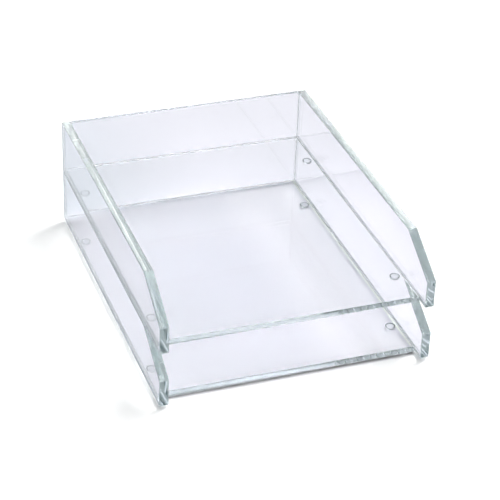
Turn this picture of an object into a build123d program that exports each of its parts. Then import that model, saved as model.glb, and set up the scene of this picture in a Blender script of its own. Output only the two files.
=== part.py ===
from build123d import *

import os

# Two-tier stacking letter tray in clear acrylic, modelled stacked as it stands on a desk.
#
# Millimetres, +Z up.  The origin is on the desk, under the middle of the stack.
# The open front faces -Y and the back panel is on the +Y side.
#
# Each tray is four panels of polished acrylic sheet, solvent welded edge to face, on four
# clear bumper feet.  The floor and the back fit between the two thick sides, flush with
# their lower edges and rear edges, and the broken edges leave a fine V groove along each of
# those flush joints.  The upper tray's sides and back stand on the top edges
# of the lower tray, and its feet hang just inside the lower tray's sides, which keeps the
# stack from sliding apart.

# Driving dimensions of one tray
tray_width = 266.7
tray_depth = 343.0
side_height = 57.5
side_thickness = 9.0
floor_thickness = 6.0
back_thickness = 6.0

# The front corner of each side is cut away in a straight slope
front_edge_height = 28.0
slope_run = 50.0

# The floor stops a little short of the front ends of the sides
floor_setback = 12.0

# Bumper feet: a low clear dome with a flat glued base and a small flat tip
foot_diameter = 10.0
foot_tip_diameter = 6.0
foot_height = 3.0
foot_rim_height = 0.8
foot_shoulder_radius = 3.0
foot_gap_to_side = 2.3
foot_from_end = 55.0

# The polished panels have their sharp edges broken by this much
edge_break = 0.8

tray_names = ("lower", "upper")

# Derived sizes
half_width = tray_width / 2
half_depth = tray_depth / 2
inner_half_width = half_width - side_thickness
inner_width = 2 * inner_half_width
back_inner_y = half_depth - back_thickness
floor_front_y = -half_depth + floor_setback
floor_depth = back_inner_y - floor_front_y
foot_radius = foot_diameter / 2
foot_x = inner_half_width - foot_gap_to_side - foot_radius
foot_y = half_depth - foot_from_end


def side_panel(low_x, base_z):
    """A side of the tray: a long plate whose front top corner is cut off on a slope.

    low_x is the lower X of the plate.  All its edges are broken.
    """
    outline = [
        (-half_depth, base_z),
        (half_depth, base_z),
        (half_depth, base_z + side_height),
        (-half_depth + slope_run, base_z + side_height),
        (-half_depth, base_z + front_edge_height),
    ]
    face = Plane.YZ.offset(low_x) * make_face(Polyline(*outline, close=True))
    plate = extrude(face, amount=side_thickness)
    return chamfer(plate.edges(), edge_break)


def floor_panel(base_z):
    """The sheet that the paper lies on, between the sides and in front of the back."""
    sheet = Pos(0, (floor_front_y + back_inner_y) / 2, base_z + floor_thickness / 2) * Box(
        inner_width, floor_depth, floor_thickness
    )
    top_face = sheet.faces().sort_by(Axis.Z)[-1]
    front_top_edge = top_face.edges().sort_by(Axis.Y)[0]
    bottom_face = sheet.faces().sort_by(Axis.Z)[0]
    return chamfer([front_top_edge, *bottom_face.edges()], edge_break)


def back_panel(base_z):
    """The sheet that closes the rear, between the sides and down to their lower edges."""
    sheet = Pos(0, half_depth - back_thickness / 2, base_z + side_height / 2) * Box(
        inner_width, back_thickness, side_height
    )
    top_face = sheet.faces().sort_by(Axis.Z)[-1]
    rear_face = sheet.faces().sort_by(Axis.Y)[-1]
    bottom_face = sheet.faces().sort_by(Axis.Z)[0]
    front_top_edge = top_face.edges().sort_by(Axis.Y)[0]
    front_bottom_edge = bottom_face.edges().sort_by(Axis.Y)[0]
    return chamfer([front_top_edge, front_bottom_edge, *rear_face.edges()], edge_break)


def bumper_foot(x, y, top_z):
    """A clear bumper foot glued under the floor, widest at its base and domed below."""
    base_centre = (0, 0)
    base_edge = (foot_radius, 0)
    rim_edge = (foot_radius, -foot_rim_height)
    tip_edge = (foot_tip_diameter / 2, -foot_height)
    tip_centre = (0, -foot_height)
    outline = [
        Line(base_centre, base_edge),
        Line(base_edge, rim_edge),
        RadiusArc(rim_edge, tip_edge, foot_shoulder_radius),
        Line(tip_edge, tip_centre),
        Line(tip_centre, base_centre),
    ]
    half_section = Plane.XZ * make_face(outline)
    return Pos(x, y, top_z) * revolve(half_section, Axis.Z)


def tray(base_z):
    """Every piece of one tray, by name, with its sides standing at base_z."""
    pieces = {
        "left_side": side_panel(-half_width, base_z),
        "right_side": side_panel(inner_half_width, base_z),
        "floor_panel": floor_panel(base_z),
        "back_panel": back_panel(base_z),
    }
    for end, y in (("front", -foot_y), ("rear", foot_y)):
        for hand, x in (("left", -foot_x), ("right", foot_x)):
            pieces[f"foot_{end}_{hand}"] = bumper_foot(x, y, base_z)
    return pieces


os.makedirs("parts", exist_ok=True)

for level, tray_name in enumerate(tray_names):
    tray_base_z = foot_height + level * side_height
    for piece_name, shape in tray(tray_base_z).items():
        export_step(shape, f"parts/{tray_name}_{piece_name}.step")
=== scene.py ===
import math

import bmesh
import bpy
from mathutils import Matrix, Vector


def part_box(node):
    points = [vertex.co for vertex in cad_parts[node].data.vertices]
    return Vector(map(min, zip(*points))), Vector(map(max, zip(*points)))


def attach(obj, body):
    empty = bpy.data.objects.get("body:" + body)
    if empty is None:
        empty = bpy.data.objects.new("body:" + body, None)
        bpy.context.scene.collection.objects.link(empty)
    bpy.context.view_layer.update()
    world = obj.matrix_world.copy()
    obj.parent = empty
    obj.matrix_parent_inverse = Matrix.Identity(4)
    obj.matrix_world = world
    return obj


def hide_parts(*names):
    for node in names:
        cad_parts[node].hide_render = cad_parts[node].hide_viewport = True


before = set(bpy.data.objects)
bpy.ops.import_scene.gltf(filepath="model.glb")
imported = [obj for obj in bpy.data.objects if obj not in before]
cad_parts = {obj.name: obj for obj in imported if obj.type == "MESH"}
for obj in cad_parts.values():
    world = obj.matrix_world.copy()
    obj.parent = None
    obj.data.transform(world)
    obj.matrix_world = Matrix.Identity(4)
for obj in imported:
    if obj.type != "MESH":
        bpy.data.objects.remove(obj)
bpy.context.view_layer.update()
scene = bpy.context.scene

# Two stacked letter trays in clear acrylic, on a pale table in a soft, even studio.  Metres.
# The panels and feet take their places from the frame's boxes.  The sizes that the boxes
# don't give come first.
FRONT_EDGE_HEIGHT = 0.028
SLOPE_RUN = 0.050
EDGE_BREAK = 0.0008
FOOT_RIM_HEIGHT = 0.0008
FOOT_RIM_BREAK = 0.0001
FOOT_TIP_RADIUS = 0.003
FOOT_SHOULDER_RADIUS = 0.003
FOOT_ARC_STEPS = 10
FOOT_TURN_STEPS = 48

# Gaps that keep each panel its own closed piece of acrylic: at a weld, and between the trays
WELD_GAP = 0.00002
STACK_GAP = 0.0001

# How much thinner than its nominal size each floor sheet is drawn, well within what is usual
# for sheet.  It decides whether its front edge shows light or dark.
SHEET_SHORTFALL = {"lower": 0.0, "upper": 0.00026}

# Edges between faces that turn by more than this stay sharp
SHARP_ANGLE = math.radians(35)

# Camera: azimuth round the object from the front, elevation and roll in degrees, metres, and
# millimetres of lens on a 36 mm sensor
CAMERA_AZIMUTH = -20.62
CAMERA_ELEVATION = 32.12
CAMERA_ROLL = 2.22
CAMERA_DISTANCE = 1.7857
CAMERA_TARGET = Vector((0.0129, 0.0, 0.041))
CAMERA_LENS = 129.56
CAMERA_SENSOR = 36.0

# Clear acrylic: its index, the tint that its depth gives to light and how strongly per metre
ACRYLIC_IOR = 1.49
ACRYLIC_TINT = (0.04, 0.47, 0.47)
ACRYLIC_ABSORPTION = 0.55

# Its polish has faint smears, wherever this noise is above its middle
POLISH_SCALE = 14.0
POLISH_NOISE = (0.5, 0.8)
POLISH_ROUGHNESS = 0.015

# Its sawn faces are dull, and less so where cement has wetted them on a side panel
SAW_CUT_ROUGHNESS = 0.45
WELDED_FACE_DULLNESS = 0.45

# A thin line of cement shows beside each weld; the same dark colour is painted shade along the seam
# where the upper tray rests on the lower
WELD_LINE_WIDTH = 0.0008
CEMENT_AND_SEAM_SHADE_COLOUR = (0.10, 0.13, 0.13)

# The worked ends and top edges of the sides have a fine ripple
RIPPLE_SCALE = 600.0
RIPPLE_HEIGHT = 0.000012

# Clear bumper feet, whose rim is dull and carries painted shade, darker than the tip
BUMPER_IOR = 1.50
BUMPER_COLOUR = (0.97, 0.98, 0.98)
BUMPER_ROUGHNESS = 0.02
BUMPER_GRAIN_SCALE = 900.0
BUMPER_GRAIN_HEIGHT = 0.0001
BUMPER_GRAIN_STRENGTH = 0.1
RIM_SHADE_COLOUR = (0.20, 0.22, 0.24)
RIM_ROUGHNESS = 0.4
RIM_STEEPNESS = 0.75

# The studio: its even light, then patches of it as direction, angles in degrees where each is
# full and where it has faded out, and colour.  The first is the key light.
STUDIO_COLOUR = (0.5, 0.5, 0.5)
STUDIO_PATCHES = (
    ((0.52, 0.20, 0.83), 4, 16, (20.0, 20.0, 20.0)),
    ((0.02, -0.15, 0.98), 8, 18, (3.2, 3.2, 3.2)),
    ((0.0, -0.78, 0.62), 14, 24, (1.3, 1.3, 1.3)),
    ((0.30, 0.80, 0.53), 16, 28, (0.38, 0.43, 0.44)),
    ((-0.34, 0.77, 0.57), 16, 28, (0.02, 0.07, 0.08)),
    ((-0.51, 0.86, 0.02), 8, 20, (0.85, 0.88, 0.88)),
)

# The table, just under the feet, and how pale it is where the camera sees it directly
TABLE_HALF_SIZE = 6.0
TABLE_DROP = 0.00005
TABLE_BARE = (0.95, 0.95, 0.95)
TABLE_ROUGHNESS = 0.9

# Seen through acrylic it is greyer, a painted shade, with a painted pool of light: its colours in the
# pool and outside it, its middle and half sizes, and how far out, in half sizes, it starts and ends
# fading
TABLE_LIT = (0.75, 0.745, 0.82)
TABLE_UNLIT = (0.655, 0.655, 0.71)
POOL_CENTRE = (0.070, 0.070)
POOL_REACH = (0.175, 0.235)
POOL_FADE = (0.5, 1.3)

# Painted bounce light lifts the table's painted shade under the floors: most along a band beside the
# right side, and a share of that towards the back
FILL_GAIN = (1.19, 1.18, 1.15)
FILL_X = 0.079
FILL_REACH_X = 0.065
FILL_HALF_WIDTH = 0.124
FILL_BACK_Y = 0.165
FILL_REARWARD_Y = (0.05, 0.14)
FILL_REARWARD_SHARE = 0.35

# The table has painted shade, darker and bluer, beyond the rear left corner, from where each of these
# starts to where full
CORNER_SHADE_COLOUR = (0.57, 0.60, 0.655)
CORNER_X = (0.06, -0.16)
CORNER_Y = (0.16, 0.20)

# A painted lighter strip under each side, standing in for the light that its acrylic pipes down
PIPED_LIGHT_STRIP_COLOUR = (0.845, 0.865, 0.845)
STRIP_X = 0.1285
STRIP_HALF_WIDTH = 0.005
STRIP_HALF_LENGTH = 0.1715

# A painted shadow: the dark line that the lower floor's front edge throws on the table
CONTACT_SHADOW_COLOUR = (0.16, 0.16, 0.17)
CONTACT_Y = -0.1565
CONTACT_HALF_LENGTH = 0.122
CONTACT_REACH = 0.005


def feed(tree, socket, source):
    """Links a node's socket to another node's output, or gives it a plain value or colour."""
    if isinstance(source, bpy.types.NodeSocket):
        tree.links.new(source, socket)
    elif socket.type == "RGBA":
        socket.default_value = (*source, 1.0)
    else:
        socket.default_value = source


def math_node(tree, operation, *values):
    node = tree.nodes.new("ShaderNodeMath")
    node.operation = operation
    for socket, value in zip(node.inputs, values):
        feed(tree, socket, value)
    return node.outputs[0]


def vector_node(tree, operation, *values, result="Vector"):
    node = tree.nodes.new("ShaderNodeVectorMath")
    node.operation = operation
    for socket, value in zip(node.inputs, values):
        feed(tree, socket, value)
    return node.outputs[result]


def map_range(tree, value, start, end, low=0.0, high=1.0, soft=False):
    """Low where the value is at start, high where it is at end, and clamped outside them."""
    node = tree.nodes.new("ShaderNodeMapRange")
    if soft:
        node.interpolation_type = "SMOOTHSTEP"
    feed(tree, node.inputs["Value"], value)
    feed(tree, node.inputs["From Min"], start)
    feed(tree, node.inputs["From Max"], end)
    feed(tree, node.inputs["To Min"], low)
    feed(tree, node.inputs["To Max"], high)
    return node.outputs[0]


def mix_colours(tree, share, first, second, blend="MIX"):
    node = tree.nodes.new("ShaderNodeMix")
    node.data_type = "RGBA"
    node.blend_type = blend
    feed(tree, node.inputs["Factor"], share)
    feed(tree, node.inputs["A"], first)
    feed(tree, node.inputs["B"], second)
    return node.outputs["Result"]


def object_place(tree):
    return tree.nodes.new("ShaderNodeTexCoord").outputs["Object"]


def face_mark(tree, name):
    """The number that mark_faces gave to each face under this name."""
    node = tree.nodes.new("ShaderNodeAttribute")
    node.attribute_name = name
    return node.outputs["Fac"]


def noise(tree, scale, detail):
    node = tree.nodes.new("ShaderNodeTexNoise")
    node.inputs["Scale"].default_value = scale
    node.inputs["Detail"].default_value = detail
    feed(tree, node.inputs["Vector"], object_place(tree))
    return node.outputs["Fac"]


def bump(tree, height, distance, strength=1.0):
    node = tree.nodes.new("ShaderNodeBump")
    node.inputs["Strength"].default_value = strength
    node.inputs["Distance"].default_value = distance
    feed(tree, node.inputs["Height"], height)
    return node.outputs[0]


def new_material(name):
    """A material with its node tree and the shader in it."""
    material = bpy.data.materials.new(name)
    material.use_nodes = True
    tree = material.node_tree
    return material, tree, tree.nodes["Principled BSDF"]


def add_camera():
    azimuth = math.radians(CAMERA_AZIMUTH)
    elevation = math.radians(CAMERA_ELEVATION)
    roll = math.radians(CAMERA_ROLL)
    back = Vector((
        math.sin(azimuth) * math.cos(elevation),
        -math.cos(azimuth) * math.cos(elevation),
        math.sin(elevation),
    ))
    level_right = Vector((math.cos(azimuth), math.sin(azimuth), 0.0))
    level_up = back.cross(level_right)
    right = math.cos(roll) * level_right + math.sin(roll) * level_up
    up = -math.sin(roll) * level_right + math.cos(roll) * level_up
    place = CAMERA_TARGET + CAMERA_DISTANCE * back

    data = bpy.data.cameras.new("camera")
    data.lens = CAMERA_LENS
    data.sensor_width = CAMERA_SENSOR
    camera = bpy.data.objects.new("camera", data)
    camera.matrix_world = Matrix((
        (right.x, up.x, back.x, place.x),
        (right.y, up.y, back.y, place.y),
        (right.z, up.z, back.z, place.z),
        (0.0, 0.0, 0.0, 1.0),
    ))
    scene.collection.objects.link(camera)
    scene.camera = camera


def add_world():
    """An even, pale studio with soft patches that are lighter or darker."""
    world = bpy.data.worlds.new("studio")
    world.use_nodes = True
    tree = world.node_tree
    tree.nodes.clear()
    direction = tree.nodes.new("ShaderNodeTexCoord").outputs["Generated"]
    light = STUDIO_COLOUR
    for towards, full_angle, fade_angle, colour in STUDIO_PATCHES:
        middle_of_patch = Vector(towards).normalized()
        nearness = vector_node(tree, "DOT_PRODUCT", direction, middle_of_patch, result="Value")
        faded = math.cos(math.radians(fade_angle))
        full = math.cos(math.radians(full_angle))
        share = map_range(tree, nearness, faded, full, soft=True)
        light = mix_colours(tree, share, light, colour)
    background = tree.nodes.new("ShaderNodeBackground")
    feed(tree, background.inputs["Color"], light)
    output = tree.nodes.new("ShaderNodeOutputWorld")
    tree.links.new(background.outputs[0], output.inputs["Surface"])
    scene.world = world


def table_material():
    """Pale where the camera sees it directly; where acrylic is in front, painted with light and shade
    by place.
    """
    material, tree, shader = new_material("studio_table")
    place = object_place(tree)
    axes = tree.nodes.new("ShaderNodeSeparateXYZ")
    feed(tree, axes.inputs[0], place)
    x = axes.outputs["X"]
    y = axes.outputs["Y"]
    off_middle = math_node(tree, "ABSOLUTE", x)

    # Painted shade on the table under the acrylic, with a painted pool of light
    from_pool = vector_node(tree, "SUBTRACT", place, (*POOL_CENTRE, 0))
    in_half_sizes = vector_node(tree, "DIVIDE", from_pool, (*POOL_REACH, 1))
    pool_distance = vector_node(tree, "LENGTH", in_half_sizes, result="Value")
    outside_pool = map_range(tree, pool_distance, *POOL_FADE, soft=True)
    colour = mix_colours(tree, outside_pool, TABLE_LIT, TABLE_UNLIT)

    # Painted light: a brighter band beside the right side and towards the back
    off_band = math_node(tree, "ABSOLUTE", math_node(tree, "SUBTRACT", x, FILL_X))
    in_band = map_range(tree, off_band, FILL_REACH_X, 0.0, soft=True)
    rearward = map_range(tree, y, *FILL_REARWARD_Y, 0.0, FILL_REARWARD_SHARE, soft=True)
    between_sides = math_node(tree, "LESS_THAN", off_middle, FILL_HALF_WIDTH)
    before_back = math_node(tree, "LESS_THAN", y, FILL_BACK_Y)
    under_floor = math_node(tree, "MULTIPLY", between_sides, before_back)
    fill = math_node(tree, "MULTIPLY", math_node(tree, "ADD", in_band, rearward), under_floor)
    colour = mix_colours(tree, fill, colour, FILL_GAIN, blend="MULTIPLY")

    # Painted shade on the table beyond the rear left corner
    leftward = map_range(tree, x, *CORNER_X, soft=True)
    behind = map_range(tree, y, *CORNER_Y, soft=True)
    in_corner_shade = math_node(tree, "MULTIPLY", leftward, behind)
    colour = mix_colours(tree, in_corner_shade, colour, CORNER_SHADE_COLOUR)

    # Painted light: a lighter strip on the table under each side
    across_strip = math_node(tree, "COMPARE", off_middle, STRIP_X, STRIP_HALF_WIDTH)
    along_strip = math_node(tree, "COMPARE", y, 0.0, STRIP_HALF_LENGTH)
    lit_under_side = math_node(tree, "MULTIPLY", across_strip, along_strip)
    colour = mix_colours(tree, lit_under_side, colour, PIPED_LIGHT_STRIP_COLOUR)

    seen_directly = tree.nodes.new("ShaderNodeLightPath").outputs["Is Camera Ray"]
    colour = mix_colours(tree, seen_directly, colour, TABLE_BARE)

    # Painted shadow under the lower floor's front edge
    off_contact = math_node(tree, "ABSOLUTE", math_node(tree, "SUBTRACT", y, CONTACT_Y))
    across_contact = map_range(tree, off_contact, CONTACT_REACH, 0.0, soft=True)
    contact_end = CONTACT_HALF_LENGTH + CONTACT_REACH
    along_contact = map_range(tree, off_middle, contact_end, CONTACT_HALF_LENGTH, soft=True)
    contact_shadow = math_node(tree, "MULTIPLY", across_contact, along_contact)
    colour = mix_colours(tree, contact_shadow, colour, CONTACT_SHADOW_COLOUR)

    feed(tree, shader.inputs["Base Color"], colour)
    shader.inputs["Roughness"].default_value = TABLE_ROUGHNESS
    shader.inputs["Specular IOR Level"].default_value = 0.0
    return material


def add_table():
    half = TABLE_HALF_SIZE
    mesh = bpy.data.meshes.new("studio_table")
    mesh.from_pydata(
        [(-half, -half, 0), (half, -half, 0), (half, half, 0), (-half, half, 0)],
        [],
        [(0, 1, 2, 3)],
    )
    table = bpy.data.objects.new("studio_table", mesh)
    table.location.z = -TABLE_DROP
    mesh.materials.append(table_material())
    scene.collection.objects.link(table)


def acrylic_material():
    """Clear acrylic that tints with depth, with smears, sawn faces, weld lines, painted seam shade and
    ripples.
    """
    material, tree, shader = new_material("clear_acrylic")
    shader.inputs["Transmission Weight"].default_value = 1.0
    shader.inputs["IOR"].default_value = ACRYLIC_IOR

    smears = noise(tree, POLISH_SCALE, 3.0)
    polish = map_range(tree, smears, *POLISH_NOISE, 0.0, POLISH_ROUGHNESS)
    sawn = face_mark(tree, "saw_cut")
    roughness = map_range(tree, sawn, 0.0, 1.0, polish, SAW_CUT_ROUGHNESS)
    feed(tree, shader.inputs["Roughness"], roughness)

    # Dark cement beside the welds, and painted shade along the seam between the trays
    cement_or_seam_shade = face_mark(tree, "cement_and_seam_shade")
    colour = mix_colours(tree, cement_or_seam_shade, (1.0, 1.0, 1.0), CEMENT_AND_SEAM_SHADE_COLOUR)
    feed(tree, shader.inputs["Base Color"], colour)

    ripple = math_node(tree, "MULTIPLY", noise(tree, RIPPLE_SCALE, 1.0), face_mark(tree, "worked_edge"))
    feed(tree, shader.inputs["Normal"], bump(tree, ripple, RIPPLE_HEIGHT))

    absorption = tree.nodes.new("ShaderNodeVolumeAbsorption")
    feed(tree, absorption.inputs["Color"], ACRYLIC_TINT)
    feed(tree, absorption.inputs["Density"], ACRYLIC_ABSORPTION)
    feed(tree, tree.nodes["Material Output"].inputs["Volume"], absorption.outputs[0])
    return material


def bumper_material():
    """A clear, slightly grainy bumper with a dull rim in painted shade."""
    material, tree, shader = new_material("clear_bumper")
    shader.inputs["Transmission Weight"].default_value = 1.0
    shader.inputs["IOR"].default_value = BUMPER_IOR
    rim = face_mark(tree, "rim")
    # Painted shade darkens the rim
    feed(tree, shader.inputs["Base Color"], mix_colours(tree, rim, BUMPER_COLOUR, RIM_SHADE_COLOUR))
    roughness = map_range(tree, rim, 0.0, 1.0, BUMPER_ROUGHNESS, RIM_ROUGHNESS)
    feed(tree, shader.inputs["Roughness"], roughness)
    grain = noise(tree, BUMPER_GRAIN_SCALE, 2.0)
    grain_normal = bump(tree, grain, BUMPER_GRAIN_HEIGHT, BUMPER_GRAIN_STRENGTH)
    feed(tree, shader.inputs["Normal"], grain_normal)
    return material


def finish_piece(name, bm, material, slot, body, *nodes):
    """Makes an object of the mesh, shaded smooth with flat broad faces, and gives it its place."""
    bmesh.ops.recalc_face_normals(bm, faces=bm.faces)
    for face in bm.faces:
        face.smooth = True
    for edge in bm.edges:
        edge.smooth = edge.calc_face_angle(0.0) < SHARP_ANGLE
    mesh = bpy.data.meshes.new(name)
    bm.to_mesh(mesh)
    bm.free()
    mesh.materials.append(material)
    piece = bpy.data.objects.new(name, mesh)
    scene.collection.objects.link(piece)
    weighted = piece.modifiers.new("flat_broad_faces", "WEIGHTED_NORMAL")
    weighted.mode = "FACE_AREA"
    weighted.weight = 100
    weighted.keep_sharp = True
    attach(piece, body)
    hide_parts(*nodes)


def finish_panel(tray, node, bm):
    finish_piece(f"{node}_acrylic", bm, acrylic, "clear_acrylic", f"{tray}_tray", node)


def prism(outline, low_x, high_x):
    """A closed plate with this outline in YZ, from low_x to high_x."""
    bm = bmesh.new()
    low = [bm.verts.new((low_x, y, z)) for y, z in outline]
    high = [bm.verts.new((high_x, y, z)) for y, z in outline]
    bm.faces.new(low)
    bm.faces.new(list(reversed(high)))
    for i in range(len(outline)):
        j = (i + 1) % len(outline)
        bm.faces.new((low[i], high[i], high[j], low[j]))
    return bm


def box_mesh(low, high):
    outline = [(low.y, low.z), (high.y, low.z), (high.y, high.z), (low.y, high.z)]
    return prism(outline, low.x, high.x)


def break_edges(bm, chosen=lambda edge: True):
    """Takes the sharp corner off the edges that chosen says, with one narrow flat."""
    bmesh.ops.bevel(
        bm,
        geom=[edge for edge in bm.edges if chosen(edge)],
        offset=EDGE_BREAK,
        offset_type="OFFSET",
        segments=1,
        profile=0.5,
        affect="EDGES",
        clamp_overlap=True,
    )


def mark_faces(bm, name, chosen, amount=1.0):
    """Gives each face a number that the material reads: amount where chosen says so, else 0."""
    layer = bm.faces.layers.float.new(name)
    for face in bm.faces:
        face[layer] = amount if chosen(face) else 0.0


def near(a, b):
    return abs(a - b) < 1e-6


def middle(edge):
    return (edge.verts[0].co + edge.verts[1].co) / 2


def corners(node):
    """Copies of the low and high corner of a node's box, free to change."""
    low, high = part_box(node)
    return low.copy(), high.copy()


def size(node):
    low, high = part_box(node)
    return high - low


def score_inner_face(bm, inner_x, floor_top, back_front):
    """Scores the inner face of a side along its welds and their thin lines, keeping its shape."""
    cuts = (
        ((0, 0, floor_top), (0, 0, 1)),
        ((0, 0, floor_top + WELD_LINE_WIDTH), (0, 0, 1)),
        ((0, back_front, 0), (0, 1, 0)),
        ((0, back_front - WELD_LINE_WIDTH, 0), (0, 1, 0)),
    )
    for point, normal in cuts:
        faces = [face for face in bm.faces if near(face.calc_center_median().x, inner_x)]
        geometry = faces + [edge for face in faces for edge in face.edges]
        bmesh.ops.bisect_plane(bm, geom=list(set(geometry)), plane_co=point, plane_no=normal)


def side_panel(tray, hand):
    """A side with its front top corner cut off on a slope, marked where the others are welded."""
    node = f"{tray}_{hand}_side"
    low, high = corners(node)
    if tray == "upper":
        low.z += STACK_GAP
    inner_x = high.x if hand == "left" else low.x
    middle_x = (low.x + high.x) / 2
    floor_top = low.z + size(f"{tray}_floor_panel").z
    back_front = high.y - size(f"{tray}_back_panel").y
    outline = [
        (low.y, low.z),
        (high.y, low.z),
        (high.y, high.z),
        (low.y + SLOPE_RUN, high.z),
        (low.y, low.z + FRONT_EDGE_HEIGHT),
    ]
    bm = prism(outline, low.x, high.x)
    break_edges(bm)
    score_inner_face(bm, inner_x, floor_top, back_front)
    bmesh.ops.recalc_face_normals(bm, faces=bm.faces)

    def welded(face):
        at = face.calc_center_median()
        return near(at.x, inner_x) and (at.z < floor_top or at.y > back_front)

    def beside_weld(face):
        at = face.calc_center_median()
        beside_floor = at.z < floor_top + WELD_LINE_WIDTH
        beside_back = at.y > back_front - WELD_LINE_WIDTH
        return near(at.x, inner_x) and not welded(face) and (beside_floor or beside_back)

    # Painted shade: the upper tray's lower outer edge, where it rests on the lower tray, gets the dark
    # weld colour
    def seam_between_trays(face):
        at = face.calc_center_median()
        outer_half = abs(at.x) > abs(middle_x)
        slanting = 0.5 < abs(face.normal.x) < 0.9 and abs(face.normal.z) > 0.5
        return tray == "upper" and outer_half and slanting and at.z < floor_top

    def worked(face):
        return abs(face.normal.y) > 0.3 and near(face.normal.x, 0)

    mark_faces(bm, "saw_cut", welded, WELDED_FACE_DULLNESS)
    mark_faces(bm, "cement_and_seam_shade", lambda face: beside_weld(face) or seam_between_trays(face))
    mark_faces(bm, "worked_edge", worked)
    finish_panel(tray, node, bm)


def floor_panel(tray):
    """The sheet that the paper lies on, sawn where it meets the sides and the back."""
    node = f"{tray}_floor_panel"
    low, high = corners(node)
    low.x += WELD_GAP
    high.x -= WELD_GAP
    high.y -= WELD_GAP
    high.z -= SHEET_SHORTFALL[tray]
    bm = box_mesh(low, high)

    def at_front_or_bottom(edge):
        at = middle(edge)
        return near(at.y, low.y) or near(at.z, low.z)

    def sawn(face):
        at = face.calc_center_median()
        return near(at.x, low.x) or near(at.x, high.x) or near(at.y, high.y)

    break_edges(bm, at_front_or_bottom)
    mark_faces(bm, "saw_cut", sawn)
    finish_panel(tray, node, bm)


def back_panel(tray):
    """The sheet that closes the rear, sawn where it meets the sides."""
    node = f"{tray}_back_panel"
    low, high = corners(node)
    low.x += WELD_GAP
    high.x -= WELD_GAP
    if tray == "upper":
        low.z += STACK_GAP
    bm = box_mesh(low, high)

    def at_rear_top_or_bottom(edge):
        at = middle(edge)
        return near(at.z, high.z) or near(at.y, high.y) or near(at.z, low.z)

    def sawn(face):
        at = face.calc_center_median()
        return near(at.x, low.x) or near(at.x, high.x)

    break_edges(bm, at_rear_top_or_bottom)
    mark_faces(bm, "saw_cut", sawn)
    finish_panel(tray, node, bm)


def foot_profile(radius, top_z, low_z):
    """Half the section of a foot, from the middle of its base to the middle of its tip."""
    start = Vector((radius, top_z - FOOT_RIM_HEIGHT))
    end = Vector((FOOT_TIP_RADIUS, low_z))
    chord = end - start
    half = chord.length / 2
    reach = math.sqrt(FOOT_SHOULDER_RADIUS**2 - half**2)
    inward = Vector((chord.y, -chord.x)).normalized()
    centre = start + chord / 2 + inward * reach
    if centre.x > start.x:
        centre = start + chord / 2 - inward * reach
    first = math.atan2(start.y - centre.y, start.x - centre.x)
    last = math.atan2(end.y - centre.y, end.x - centre.x)
    shoulder = []
    for i in range(FOOT_ARC_STEPS + 1):
        angle = first + (last - first) * i / FOOT_ARC_STEPS
        shoulder.append((
            centre.x + FOOT_SHOULDER_RADIUS * math.cos(angle),
            centre.y + FOOT_SHOULDER_RADIUS * math.sin(angle),
        ))
    base = [(0.0, top_z), (radius - FOOT_RIM_BREAK, top_z), (radius, top_z - FOOT_RIM_BREAK)]
    return [*base, *shoulder, (0.0, low_z)]


def foot(tray, place):
    """A bumper foot, turned from its profile, with its steep faces marked as its rim."""
    node = f"{tray}_foot_{place}"
    low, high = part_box(node)
    centre_x = (low.x + high.x) / 2
    centre_y = (low.y + high.y) / 2
    radius = (high.x - low.x) / 2
    profile = foot_profile(radius, high.z - WELD_GAP, low.z)
    bm = bmesh.new()
    verts = [bm.verts.new((centre_x + r, centre_y, z)) for r, z in profile]
    edges = [bm.edges.new(pair) for pair in zip(verts, verts[1:])]
    bmesh.ops.spin(
        bm,
        geom=verts + edges,
        cent=(centre_x, centre_y, 0),
        axis=(0, 0, 1),
        angle=2 * math.pi,
        steps=FOOT_TURN_STEPS,
        use_duplicate=False,
    )
    bmesh.ops.remove_doubles(bm, verts=bm.verts, dist=1e-6)
    bm.normal_update()
    mark_faces(bm, "rim", lambda face: abs(face.normal.z) < RIM_STEEPNESS)
    finish_piece(f"{node}_clear", bm, bumper, "clear_bumper", f"{tray}_tray", node)


add_camera()
add_world()
add_table()
acrylic = acrylic_material()
bumper = bumper_material()

for tray in ("lower", "upper"):
    side_panel(tray, "left")
    side_panel(tray, "right")
    floor_panel(tray)
    back_panel(tray)
    for place in ("front_left", "front_right", "rear_left", "rear_right"):
        foot(tray, place)

# Light takes many turns inside the edges of clear plates, so it is followed a long way
scene.view_settings.view_transform = "Standard"
scene.cycles.max_bounces = 64
scene.cycles.transmission_bounces = 64
scene.cycles.glossy_bounces = 64
scene.cycles.diffuse_bounces = 4
scene.cycles.transparent_max_bounces = 16
scene.cycles.caustics_refractive = True
scene.cycles.caustics_reflective = True
scene.cycles.blur_glossy = 0.0
scene.cycles.sample_clamp_indirect = 0.0
scene.cycles.use_denoising = True
